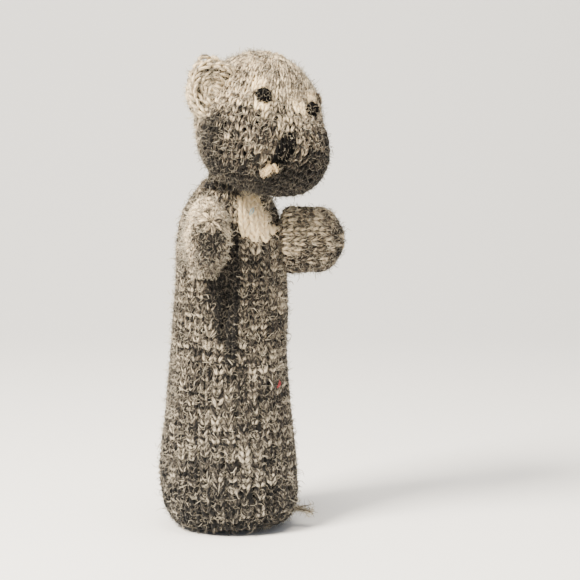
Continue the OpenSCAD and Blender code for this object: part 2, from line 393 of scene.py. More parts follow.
def strands_mesh(name: str, strands: list[Strand]) -> bpy.types.Mesh:
    """Joins strands into one mesh with a UV map named Yarn.

    Args:
        name: the mesh's name.
        strands: the tubes, in metres.

    Returns:
        The mesh, smooth shaded.
    """
    verts, faces, uvs, start = [], [], [], 0
    for strand in strands:
        v, f, uv = strand.arrays()
        verts.append(v)
        faces += [tuple(i + start for i in face) for face in f]
        uvs += uv
        start += len(v)
    mesh = bpy.data.meshes.new(name)
    mesh.from_pydata(np.concatenate(verts).tolist(), [], faces)
    layer = mesh.uv_layers.new(name="Yarn")
    layer.data.foreach_set("uv", np.array(uvs, np.float32).ravel())
    mesh.polygons.foreach_set("use_smooth", [True] * len(mesh.polygons))
    mesh.validate()
    return mesh


def new_object(name: str, mesh: bpy.types.Mesh, material: bpy.types.Material | None) -> bpy.types.Object:
    """Links a mesh object at the origin and gives it one material."""
    thing = bpy.data.objects.new(name, mesh)
    bpy.context.scene.collection.objects.link(thing)
    if material:
        thing.data.materials.clear()
        thing.data.materials.append(material)
    return thing


def set_attribute(mesh: bpy.types.Mesh, name: str, values: np.ndarray) -> None:
    """Stores one float, or one vector, for each vertex."""
    kind, key = ("FLOAT", "value") if np.ndim(values) == 1 else ("FLOAT_VECTOR", "vector")
    attribute = mesh.attributes.new(name, kind, "POINT")
    attribute.data.foreach_set(key, np.asarray(values, np.float32).ravel())


def unit(v: np.ndarray) -> np.ndarray:
    """Normalises vectors along their last axis."""
    v = np.asarray(v, float)
    return v / (np.linalg.norm(v, axis=-1, keepdims=True) + 1e-12)


def tile_uvs(mesh: bpy.types.Mesh, copies: int) -> None:
    """Adds the UV map OFBake with one small tile for each copied shape.

    Args:
        mesh: a mesh whose copies follow each other, all alike.
        copies: how many copies it holds.
    """
    loops = len(mesh.loops)
    source = mesh.uv_layers.get("Yarn")
    if copies < 1 or loops % copies or source is None:
        return
    own = np.zeros(loops * 2, np.float32)
    source.data.foreach_get("uv", own)
    own = own.reshape(copies, loops // copies, 2) % 1.0001
    across = max(1, math.ceil(math.sqrt(copies)))
    index = np.arange(copies)
    corner = np.stack([index % across, index // across], 1)[:, None, :]
    laid = (corner + TILE_EDGE + TILE_FILL * own) / across
    bake = mesh.uv_layers.new(name="OFBake")
    bake.data.foreach_set("uv", laid.astype(np.float32).ravel())


def ring_faces(rings: int, around: int, closed: bool = False) -> list[tuple[int, ...]]:
    """Quads between rings of points, and from the last back to the first if closed."""
    return [
        (i * around + j, i * around + (j + 1) % around, (i + 1) % rings * around + (j + 1) % around,
         (i + 1) % rings * around + j)
        for i in range(rings if closed else rings - 1) for j in range(around)
    ]


def solid(name: str, verts: np.ndarray, faces: list, material: bpy.types.Material,
          smooth: bool = True) -> bpy.types.Object:
    """Makes an object from points in millimetres and faces."""
    mesh = bpy.data.meshes.new(name)
    mesh.from_pydata((verts * MM).tolist(), [], faces)
    if smooth:
        mesh.polygons.foreach_set("use_smooth", [True] * len(mesh.polygons))
    mesh.validate()
    return new_object(name, mesh, material)


def walk(points: np.ndarray) -> np.ndarray:
    """Distance walked along a line at each of its points."""
    return np.concatenate([[0], np.cumsum(np.linalg.norm(np.diff(points, axis=0), axis=1))])


def rise(value: np.ndarray, start: float, span: float) -> np.ndarray:
    """0 up to start, 1 from a span beyond it, straight between."""
    return np.clip((value - start) / span, 0, 1)


def swell(value, middle: float, width: float):
    """A bell that is 1 at its middle."""
    return np.exp(-(((value - middle) / width) ** 2))


def spin_of(*turns: tuple[float, str]) -> np.ndarray:
    """Rotation matrix from turns in degrees about named axes, the last applied first."""
    total = Matrix.Identity(3)
    for degrees, axis in turns:
        total = total @ Matrix.Rotation(math.radians(degrees), 3, axis)
    return np.array(total)


# ---------------------------------------------------------------- geometry nodes


class NodeGroup(Nodes):
    """One geometry node tree with named inputs."""

    def __init__(self, name: str) -> None:
        """Starts a tree with a geometry input and output, and the inputs every tree here has."""
        self.tree = bpy.data.node_groups.new(name, "GeometryNodeTree")
        for way in ("INPUT", "OUTPUT"):
            self.tree.interface.new_socket("Geometry", in_out=way, socket_type="NodeSocketGeometry")
        self.start = self.tree.nodes.new("NodeGroupInput")
        self.end = self.tree.nodes.new("NodeGroupOutput")
        self.shapes = self.socket("Shapes", "Collection")
        self.material = self.socket("Material", "Material")

    def socket(self, name: str, kind: str = "Float") -> bpy.types.NodeSocket:
        """Adds a named input and returns its output socket inside the tree."""
        self.tree.interface.new_socket(name, in_out="INPUT", socket_type="NodeSocket" + kind)
        return self.start.outputs[name]

    def named(self, name: str, kind: str) -> bpy.types.NodeSocket:
        """Reads an attribute of the mesh."""
        return self.add("GeometryNodeInputNamedAttribute", {"Name": name}, data_type=kind).outputs[0]

    def random(self, low, high, seed: int, kind: str = "FLOAT") -> bpy.types.NodeSocket:
        """Adds a Random Value node and returns its output."""
        first, second, out = {"FLOAT": (2, 3, 1), "FLOAT_VECTOR": (0, 1, 0), "INT": (4, 5, 2)}[kind]
        inputs = {first: low, second: high, "Seed": seed}
        return self.add("FunctionNodeRandomValue", inputs, data_type=kind).outputs[out]

    def instances(self, points: bpy.types.NodeSocket, index, rotation, scale) -> bpy.types.NodeSocket:
        """Puts one of the shapes on each point."""
        source = self.add("GeometryNodeCollectionInfo", {
            0: self.shapes, "Separate Children": True, "Reset Children": True})
        return self.add("GeometryNodeInstanceOnPoints", {
            "Points": points, "Instance": source.outputs[0], "Pick Instance": True,
            "Instance Index": index, "Rotation": rotation, "Scale": scale}).outputs[0]

    def finish(self, geometry: bpy.types.NodeSocket) -> bpy.types.NodeTree:
        """Ends the tree in Realize Instances and Set Material, and returns it."""
        real = self.add("GeometryNodeRealizeInstances", {0: geometry})
        painted = self.add("GeometryNodeSetMaterial", {0: real.outputs[0], "Material": self.material})
        self.tree.links.new(painted.outputs[0], self.end.inputs[0])
        return self.tree


def stitch_tree() -> bpy.types.NodeTree:
    """Builds the tree that sets one stitch on each placed point.

    Returns:
        A tree that reads the point attributes facing, along, size and kind.
    """
    group = NodeGroup("LayStitches")
    turn = group.add(
        "FunctionNodeAxesToRotation",
        {0: group.named("facing", "FLOAT_VECTOR"), 1: group.named("along", "FLOAT_VECTOR")},
        primary_axis="Z", secondary_axis="Y",
    )
    points = group.add("GeometryNodeMeshToPoints", {0: group.start.outputs[0]})
    return group.finish(group.instances(points.outputs[0], group.named("kind", "INT"), turn.outputs[0],
                                        group.named("size", "FLOAT_VECTOR")))


def fibre_tree() -> bpy.types.NodeTree:
    """Builds the tree that scatters fibres over a yarn surface.

    Returns:
        A tree with named inputs for density, seed, lengths, lean and shade.
    """
    group = NodeGroup("ScatterFibres")
    density, seed = group.socket("Density"), group.socket("Seed", "Int")
    shortest, longest, lean, low, high = (
        group.socket(name) for name in ("Shortest", "Longest", "Lean", "Shade Low", "Shade High"))
    spread = group.add("GeometryNodeDistributePointsOnFaces",
                       {"Mesh": group.start.outputs[0], "Density": density, "Seed": seed})
    back = group.math("MULTIPLY", lean, -1.0)
    tilt = group.random(group.combine(back, back, -math.pi), group.combine(lean, lean, math.pi), 11,
                        "FLOAT_VECTOR")
    turned = group.add("FunctionNodeRotateRotation", {0: spread.outputs["Rotation"], 1: tilt},
                       rotation_space="LOCAL")
    # Most fibres are short, few reach the full length, and a longer one is a little thicker
    share = group.math("POWER", group.random(0.0, 1.0, 23), 2.2)
    length = group.add(".MapRange", {0: share, 3: shortest, 4: longest}).outputs[0]
    girth = group.math("MULTIPLY_ADD", length, 0.3, 0.7)
    laid = group.instances(spread.outputs["Points"], group.random(0, Workshop.FIBRES - 1, 31, "INT"),
                           turned.outputs[0], group.combine(girth, girth, length))
    # A fibre on darker stitches is darker, so it follows both dark yarn and painted shade
    follow = group.add(".MapRange", {0: group.named("shade", "FLOAT"), 1: 0.0, 2: 0.4, 3: 0.3, 4: 1.0})
    tone = group.math("MULTIPLY", group.random(low, high, 47), follow.outputs[0])
    stored = group.add("GeometryNodeStoreNamedAttribute", {"Geometry": laid, "Name": "shade", "Value": tone},
                       data_type="FLOAT", domain="INSTANCE")
    return group.finish(stored.outputs[0])


class Workshop:
    """Keeps the shared shapes and node trees, and turns them into plain meshes."""

    STITCH_W = 2.8
    STITCH_H = 1.5
    YARN_R = 0.54
    VARIANTS = 4
    FIBRES = 8
    FIBRE_SIDES = 3
    FIBRE_FACES = 2 * FIBRE_SIDES + 2

    def __init__(self, finishes: Finishes) -> None:
        """Builds stitch shapes, fibre shapes and both trees."""
        self.finishes = finishes
        self.rng = np.random.default_rng(7)
        self.stitches = self._collection("stitch_shapes", [self._stitch(i) for i in range(self.VARIANTS)])
        self.fibres = self._collection("fibre_shapes", [self._fibre(i) for i in range(self.FIBRES)])
        self.stitch_nodes = stitch_tree()
        self.fibre_nodes = fibre_tree()

    def _collection(self, name: str, meshes: list[bpy.types.Mesh]) -> bpy.types.Collection:
        """Puts template meshes in a collection that isn't in the scene."""
        group = bpy.data.collections.new(name)
        for i, mesh in enumerate(meshes):
            group.objects.link(bpy.data.objects.new(f"{name}_{i:02d}", mesh))
        return group

    def _stitch(self, index: int) -> bpy.types.Mesh:
        """Builds one V of stocking stitch, in metres, about the middle of its V."""
        legs = []
        for side in (-1, 1):
            wobble = self.rng.normal(0, 0.05, (5, 3))
            path = np.array([
                (side * 0.16, -1.45, -0.48), (side * 0.42, -0.80, 0.20), (side * 0.74, -0.02, 0.42),
                (side * 1.02, 0.76, 0.18), (side * 0.92, 1.42, -0.48),
            ]) + wobble
            legs.append(strand(path, np.array([0.44, 0.94, 1.0, 0.92, 0.46]) * self.YARN_R))
        return strands_mesh(f"v_stitch_{index}", legs)

    def _fibre(self, index: int) -> bpy.types.Mesh:
        """Builds one curled fibre, one millimetre long, rising from the origin."""
        steps = np.linspace(0, 1, 3)
        bend = self.rng.uniform(0.2, 1.1)
        twist = self.rng.uniform(-0.4, 0.4)
        path = np.stack([
            bend * steps**1.7, twist * np.sin(steps * math.pi * self.rng.uniform(0.8, 1.6)),
            steps * (1 - 0.45 * bend * steps),
        ], 1)
        return strands_mesh(f"fibre_{index}", [strand(path, (0.046, 0.040, 0.010), self.FIBRE_SIDES)])

    def _evaluate(self, guide: bpy.types.Object, tree: bpy.types.NodeTree, values: dict) -> bpy.types.Mesh:
        """Runs a tree on a guide object and returns its result as a plain mesh."""
        modifier = guide.modifiers.new("nodes", "NODES")
        modifier.node_group = tree
        for item in tree.interface.items_tree:
            if item.in_out == "INPUT" and item.name in values:
                modifier[item.identifier] = values[item.name]
        depsgraph = bpy.context.evaluated_depsgraph_get()
        mesh = bpy.data.meshes.new_from_object(
            guide.evaluated_get(depsgraph), preserve_all_data_layers=True, depsgraph=depsgraph
        )
        guide.modifiers.remove(modifier)
        return mesh

    def lay(self, name: str, rows: "Stitches", material: bpy.types.Material) -> bpy.types.Object:
        """Turns placed stitches into one mesh object.

        Args:
            name: the object's name.
            rows: where the stitches go.
            material: their finish.

        Returns:
            The finished object at the origin.
        """
        guide_mesh = bpy.data.meshes.new(name + "_guide")
        guide_mesh.from_pydata((rows.place * MM).tolist(), [], [])
        for key in ("facing", "along", "size", "shade", "warm"):
            set_attribute(guide_mesh, key, getattr(rows, key))
        kinds = guide_mesh.attributes.new("kind", "INT", "POINT")
        chosen = self.rng.integers(0, self.VARIANTS, len(rows.place))
        kinds.data.foreach_set("value", chosen.astype(np.int32))
        guide = new_object(name + "_guide", guide_mesh, None)
        mesh = self._evaluate(guide, self.stitch_nodes, {"Shapes": self.stitches, "Material": material})
        mesh.name = name
        bpy.data.objects.remove(guide)
        for spare in ("facing", "along", "size", "kind"):
            if spare in mesh.attributes:
                mesh.attributes.remove(mesh.attributes[spare])
        tile_uvs(mesh, len(rows.place))
        made = new_object(name, mesh, material)
        LOG.info("%s: %d stitches, %d faces", name, len(rows.place), len(mesh.polygons))
        return made

    def fuzz(self, name: str, base: bpy.types.Object,
             material: bpy.types.Material | None = None) -> bpy.types.Object:
        """Scatters the coat of fibres that COATS lists under a name.

        Args:
            name: the new object's name.
            base: the piece the fibres stand on.
            material: their finish, the loose wool fibre if none is given.

        Returns:
            The fibres as one mesh object at the origin.
        """
        coat = COATS[name]
        area = sum(p.area for p in base.data.polygons)
        material = material or self.finishes.fibre
        mesh = self._evaluate(base, self.fibre_nodes, {
            "Shapes": self.fibres, "Material": material, "Density": coat.count / max(area, 1e-9),
            "Seed": coat.seed, "Shortest": coat.shortest, "Longest": coat.longest,
            "Lean": math.radians(coat.lean), "Shade Low": coat.low, "Shade High": coat.high,
        })
        mesh.name = name
        made = new_object(name, mesh, material)
        tile_uvs(mesh, len(mesh.polygons) // self.FIBRE_FACES)
        LOG.info("%s: %d faces", name, len(mesh.polygons))
        return made


@dataclass(frozen=True)
class Coat:
    """How a coat of fibres is laid. Lengths are in millimetres, lean in degrees, shades 0 to 1."""

    count: int
    seed: int
    shortest: float = 0.7
    longest: float = 2.4
    lean: float = 62.0
    low: float = 0.25
    high: float = 1.0


# The coat of fibres of each piece, by the name of the fibres
COATS = {
    "hem_fibres": Coat(13500, 5, 0.8, 2.3, 80.0, 0.0),
    "waist_fibres": Coat(13500, 6, 0.8, 2.3, 80.0, 0.0),
    "hem_felt": Coat(11000, 108, 0.6, 1.5, 86.0, 0.0, 0.8),
    "waist_felt": Coat(11000, 108, 0.6, 1.5, 86.0, 0.0, 0.8),
    "hem_halo": Coat(1500, 8, 1.5, 4.2, 48.0, 0.3),
    "waist_halo": Coat(1500, 8, 1.5, 4.2, 48.0, 0.3),
    "chest_bib_fibres": Coat(1500, 9, 0.9, 2.6, 74.0, 0.6),
    "head_fibres": Coat(13500, 12, 0.8, 2.2, 80.0, 0.05),
    "head_halo": Coat(1300, 13, 1.4, 3.6, 50.0, 0.3),
    "head_felt": Coat(9000, 112, 0.6, 1.5, 86.0, 0.05),
    "eye_patch_fibres": Coat(900, 15, longest=2.0, lean=75.0, low=0.4),
    "right_eye_fibres": Coat(160, 44, longest=1.8, low=0.0, high=0.35),
    "left_eye_fibres": Coat(160, 44, longest=1.8, low=0.0, high=0.35),
    "nose_fibres": Coat(160, 61, longest=1.7, low=0.0, high=0.3),
    "chin_fibres": Coat(170, 71, longest=1.6, low=0.3),
    "right_ear_fibres": Coat(2600, 201, longest=2.2, lean=78.0),
    "left_ear_fibres": Coat(2600, 231, longest=2.2, lean=78.0),
    "right_arm_fibres": Coat(5200, 301, 0.8, 2.1, 80.0, 0.05),
    "left_arm_fibres": Coat(5200, 331, 0.8, 2.1, 80.0, 0.05),
    "right_arm_halo": Coat(400, 302, 1.4, 3.4, 50.0, 0.3),
    "left_arm_halo": Coat(400, 332, 1.4, 3.4, 50.0, 0.3),
    "neck_fibres": Coat(1200, 401, longest=2.6, low=0.3),
    "hem_yarn_end_fibres": Coat(260, 501, longest=3.4),
}


@dataclass
class Stitches:
    """Places of stitches in millimetres, with their facing, direction, size and colour."""

    place: np.ndarray
    facing: np.ndarray
    along: np.ndarray
    size: np.ndarray
    shade: np.ndarray
    warm: np.ndarray

    def pick(self, keep: np.ndarray) -> "Stitches":
        """Returns the stitches where keep is true."""
        return Stitches(*(getattr(self, spec.name)[keep] for spec in fields(self)))


def marl(count: int, seed: int, run: float = 4.0) -> np.ndarray:
    """Shade of marled yarn from stitch to stitch along one thread.

    Args:
        count: how many stitches the thread makes.
        seed: which thread.
        run: about how many stitches a patch of one shade lasts.

    Returns:
        One shade for each stitch, 0 dark to 1 pale.
    """
    rng = np.random.default_rng(seed)
    knots = rng.uniform(0, 1, int(count / run) + 3)
    smooth = np.interp(np.arange(count) / run, np.arange(len(knots)), knots)
    fine = rng.uniform(-0.5, 0.5, count)
    return np.clip(0.5 + (smooth - 0.5) * 0.14 + fine * 0.36, 0, 1)


# ---------------------------------------------------------------- surfaces


class Surface:
    """A knitted surface that can be sampled, meshed and covered in stitches. Lengths in mm."""

    widest: float = 20.0
    LIFT = -0.25
    SINK = 0.8

    def point(self, turn: np.ndarray, row: np.ndarray) -> np.ndarray:
        """Points of the surface.

        Args:
            turn: place around, in radians.
            row: place along the knitting, in millimetres.

        Returns:
            Points in millimetres.
        """
        raise NotImplementedError

    def frame(self, turn: np.ndarray, row: np.ndarray) -> tuple[np.ndarray, ...]:
        """Point, outward normal, direction along the columns, and millimetres per radian."""
        step = 1e-3
        here = self.point(turn, row)
        around = (self.point(turn + step, row) - self.point(turn - step, row)) / (2 * step)
        up = (self.point(turn, row + 0.05) - self.point(turn, row - 0.05)) / 0.1
        return here, unit(np.cross(around, up)), unit(up), np.linalg.norm(around, axis=-1)

    def stitches(self, rows: np.ndarray, columns, seed: int, warm: float) -> Stitches:
        """Covers the surface in rows of stitches.

        Args:
            rows: row places in millimetres.
            columns: a number of columns, or a function of the row place.
            seed: which thread of marled yarn.
            warm: 0 for the cool tone to 1 for the warm tone.

        Returns:
            The placed stitches.
        """
        rng = np.random.default_rng(seed)
        turns, places, counts = [], [], []
        # Turns that are evenly spaced along the surface, where equal angles aren't
        fan = np.linspace(0, 2 * math.pi, FAN)
        walked = walk(self.point(fan, np.full(FAN, self.widest)))
        evenly = np.interp(np.linspace(0, walked[-1], FAN), walked, fan)
        for row in rows:
            number = columns(row) if callable(columns) else columns
            even = np.interp(np.arange(number) / number * walked[-1], walked, fan)
            turns.append(even + rng.normal(0, 0.012, number))
            places.append(np.full(number, row) + rng.normal(0, 0.07, number))
            counts.append(np.full(number, number))
        turn, place, count = (np.concatenate(x) for x in (turns, places, counts))
        here, normal, up, radius = self.frame(turn, place)
        gap = np.gradient(evenly) / (2 * math.pi / (FAN - 1))
        stretch = np.interp(turn % (2 * math.pi), evenly, gap)
        spacing = radius * 2 * math.pi / count * stretch
        pitch = abs(rows[1] - rows[0]) if len(rows) > 1 else Workshop.STITCH_H
        wide = spacing / Workshop.STITCH_W
        tall = np.full(len(turn), pitch / Workshop.STITCH_H)
        thick = np.clip(np.sqrt(np.clip(wide, 0.2, 2) * tall), 0.45, 1.4)
        size = np.stack([wide, tall, thick], 1) * rng.normal(1, 0.035, (len(turn), 1))
        facing = unit(normal + rng.normal(0, 0.05, normal.shape))
        along = unit(up + rng.normal(0, 0.05, up.shape))
        return Stitches(here + normal * self.LIFT, facing, along, size, marl(len(turn), seed + 100),
                        np.full(len(turn), warm))

    def skin(self, name: str, rows: np.ndarray, material: bpy.types.Material,
             around: int = 72) -> bpy.types.Object:
        """Meshes the surface as a closed skin sunk under the stitches.

        Args:
            name: the object's name.
            rows: row places, the first and last of which are closed with a fan.
            material: its finish.
            around: number of points around.

        Returns:
            The skin object.
        """
        turn = np.linspace(0, 2 * math.pi, around, endpoint=False)
        rings = self.rings(turn, rows, self.SINK)
        verts = np.concatenate([*rings, [rings[0].mean(0), rings[-1].mean(0)]])
        faces = ring_faces(len(rows), around)
        last = (len(rows) - 1) * around
        first_end, last_end = len(verts) - 2, len(verts) - 1
        for j in range(around):
            k = (j + 1) % around
            faces.append((k, j, first_end))
            faces.append((last + j, last + k, last_end))
        return solid(name, verts, faces, material)

    def rings(self, turn: np.ndarray, rows: np.ndarray, sink: float) -> list[np.ndarray]:
        """Rings of points that lie under the surface by a distance."""
        framed = (self.frame(turn, np.full(len(turn), row)) for row in rows)
        return [here - normal * sink for here, normal, _, _ in framed]


@dataclass
class SleeveSurface(Surface):
    """The tube of the body, from inside the rolled hem, round it, and up to the neck."""

    depth: float = 0.97
    widest: float = 30.0
    profile: tuple[tuple[float, float], ...] = (
        (12.0, 5.6), (11.8, 3.6), (12.1, 2.2), (12.9, 1.8), (13.9, 2.2), (15.0, 3.7), (15.8, 5.8),
        (16.3, 9.6), (16.3, 15.0), (15.7, 22.0), (14.8, 29.0), (14.1, 37.0), (13.6, 45.0),
        (13.4, 51.0), (13.1, 58.0), (13.0, 65.0), (12.6, 70.0), (11.9, 73.8), (11.0, 77.2),
        (9.6, 80.0), (8.3, 82.0), (7.2, 83.6), (6.4, 85.0),
    )
    crease_turn: float = -31.0
    crease_deep: float = 1.5

    def __post_init__(self) -> None:
        """Measures the profile along its length."""
        self.line = np.array(self.profile)
        self.at = walk(self.line)
        self.length = float(self.at[-1])

    def row_at(self, height: float) -> float:
        """Place along the knitting, outside, at a height."""
        outside = slice(3, None)
        return float(np.interp(height, self.line[outside, 1], self.at[outside]))

    def point(self, turn: np.ndarray, row: np.ndarray) -> np.ndarray:
        """Points of the tube."""
        radius = np.interp(row, self.at, self.line[:, 0])
        height = np.interp(row, self.at, self.line[:, 1])
        lump = 0.28 * np.sin(3 * turn + height * 0.11) + 0.22 * np.sin(5 * turn - height * 0.19 + 1.3)
        lump = lump * rise(height, 0, 10)
        apart = (np.degrees(turn) - self.crease_turn + 180) % 360 - 180
        fold = swell(apart, 0, 6.5) * swell(height, 54, 11)
        lump = lump - self.crease_deep * fold
        sag = 0.4 * np.sin(turn + 0.6) * np.clip(1 - height / 12, 0, 1)
        lean = 1.3 * swell(height, 32, 20)
        return np.stack([(radius + lump) * np.sin(turn) - lean * 0.88,
                         -(radius + lump) * self.depth * np.cos(turn) + lean * 0.47, height + sag], -1)


@dataclass
class HeadSurface(Surface):
    """The stuffed head: a ball that swells into cheeks and muzzle."""

    centre: np.ndarray
    spin: np.ndarray
    balls: tuple[tuple[float, float, float, float], ...]
    blend: float = 2.2

    def __post_init__(self) -> None:
        """Measures one meridian so that rows are evenly spaced."""
        self.angles = np.linspace(0.0, math.pi, 181)
        self.at = walk(self._radial(np.full(181, math.pi / 2), self.angles))
        self.length = float(self.at[-1])
        self.widest = self.length / 2

    def reach(self, direction: np.ndarray) -> np.ndarray:
        """Distance from the centre to the surface along unit directions of the head's own frame."""
        total = np.zeros(direction.shape[:-1])
        for x, y, z, r in self.balls:
            c = np.array([x, y, z])
            along = direction @ c
            inside = along**2 - c @ c + r * r
            t = along + np.sqrt(np.clip(inside, 0, None))
            t = np.where(inside > 0, t, r * 0.5)
            total = total + np.exp(t / self.blend)
        return self.blend * np.log(total)

    def _radial(self, turn: np.ndarray, polar: np.ndarray) -> np.ndarray:
        """Points by angle round the crown and angle up from the neck."""
        direction = np.stack([np.sin(turn) * np.sin(polar), -np.cos(turn) * np.sin(polar),
                              -np.cos(polar)], -1)
        return direction * self.reach(direction)[..., None]

    def point(self, turn: np.ndarray, row: np.ndarray) -> np.ndarray:
        """Points of the head in the row frame."""
        polar = np.interp(row, self.at, self.angles)
        local = self._radial(turn, polar)
        local = local * (1 + 0.012 * np.sin(4 * turn + polar * 5))[..., None]
        return local @ self.spin.T + self.centre

    def on(self, turn_deg: float, lift_deg: float, out: float = 0.0) -> tuple[np.ndarray, np.ndarray]:
        """Point on the head and the way out of it.

        Args:
            turn_deg: angle from the face towards the puppet's right.
            lift_deg: angle above the head's own level.
            out: distance outside the surface.

        Returns:
            The point in the row frame, and the outward direction.
        """
        turn, lift = math.radians(-turn_deg), math.radians(lift_deg)
        direction = np.array([math.sin(turn) * math.cos(lift), -math.cos(turn) * math.cos(lift),
                              math.sin(lift)])
        distance = float(self.reach(direction[None])[0]) + out
        return direction * distance @ self.spin.T + self.centre, direction @ self.spin.T


@dataclass
class ArmSurface(Surface):
    """A flat stubby arm with a rounded end, knitted from the shoulder outward."""

    root: np.ndarray
    way: np.ndarray
    thick: float = 5.3
    tall: float = 7.5
    start: float = -2.6
    end: float = 12.4
    taper: float = 7.2
    widest: float = 8.0

    def __post_init__(self) -> None:
        """Finds the arm's own axes."""
        self.way = unit(self.way)
        self.across = unit(np.cross(self.way, [0, 0, 1]))
        self.up = unit(np.cross(self.across, self.way))
        s = np.linspace(self.start, self.end, 121)
        share = self._share(s)
        steps = np.hypot(np.diff(s), np.diff(share * self.tall))
        self.s, self.at = s, np.concatenate([[0], np.cumsum(steps)])
        self.length = float(self.at[-1])

    def _share(self, s: np.ndarray) -> np.ndarray:
        """How full the section is at a distance from the shoulder."""
        tip = np.clip((s - (self.end - self.taper)) / self.taper, 0, 1)
        base = np.clip((self.start + 2.6 - s) / 2.6, 0, 1)
        return np.sqrt(np.clip(1 - tip**2.3, 0, 1)) * np.sqrt(np.clip(1 - 0.75 * base**2, 0, 1))

    def point(self, turn: np.ndarray, row: np.ndarray) -> np.ndarray:
        """Points of the arm."""
        s = np.interp(row, self.at, self.s)
        share = self._share(s)
        side = share * self.thick * (1 + 0.03 * np.sin(3 * turn + s))
        rise = share * self.tall * (1 + 0.02 * np.cos(2 * turn + s * 0.7))
        return (self.root + self.way * s[..., None] + self.across * (side * np.sin(turn))[..., None]
                + self.up * (rise * np.cos(turn))[..., None])


# ---------------------------------------------------------------- sub-assemblies

BENDS = {
    "hem": ("hem", "waist", (0, 0, 24.0), (0, 0, 44.0)),
    "waist": ("waist", "chest", (0, 0, 50.0), (0, 0, 66.0)),
}


@dataclass
class Puppet:
    """What every sub-assembly shares."""

    shop: Workshop
    finishes: Finishes

    def yarn(self, name: str, strands: list[Strand], finish: bpy.types.Material, shade: float,
             warm: float) -> bpy.types.Object:
        """Makes one piece out of strands, in one shade and one warmth."""
        thing = new_object(name, strands_mesh(name, strands), finish)
        count = len(thing.data.vertices)
        set_attribute(thing.data, "shade", np.full(count, shade))
        set_attribute(thing.data, "warm", np.full(count, warm))
        tile_uvs(thing.data, 1)
        return thing

    def gather(self, name: str, here: np.ndarray, out: np.ndarray, radius: float, seed: int, shade: float,
               warm: float) -> bpy.types.Object:
        """Builds a ring of loops drawn together to a point.

        Args:
            name: the object's name.
            here: the middle of the gather, in millimetres.
            out: the way out of the surface.
            radius: how far the loops reach.
            seed: which random wobble.
            shade: their shade.
            warm: their warmth.

        Returns:
            The gathered loops.
        """
        petals = 7
        out = unit(out)
        side = unit(np.cross(out, [0.3, 0.9, 0.2]))
        other = np.cross(out, side)
        rng = np.random.default_rng(seed)
        strands = []
        for i in range(petals):
            angle = 2 * math.pi * i / petals + rng.normal(0, 0.1)
            ray = side * math.cos(angle) + other * math.sin(angle)
            path = [here + ray * radius * reach + out * high for reach, high in (
                (0.22, -0.7), (0.4, 0.25), (0.75, 0.3), (1.05, -0.15), (1.25, -1.0))]
            strands.append(strand(path, (0.3, 0.55, 0.66, 0.6, 0.35)))
        return self.yarn(name, strands, self.finishes.marled, shade, warm)


def ride_all(pieces: list[bpy.types.Object], body: str) -> None:
    """Makes several pieces ride one body."""
    for piece in pieces:
        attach(piece, body)


def bend_all(pieces: list[bpy.types.Object], a: str, b: str, start, end, slot: str) -> None:
    """Bakes the place of each piece into its mesh."""
    for piece in pieces:
        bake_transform(piece)


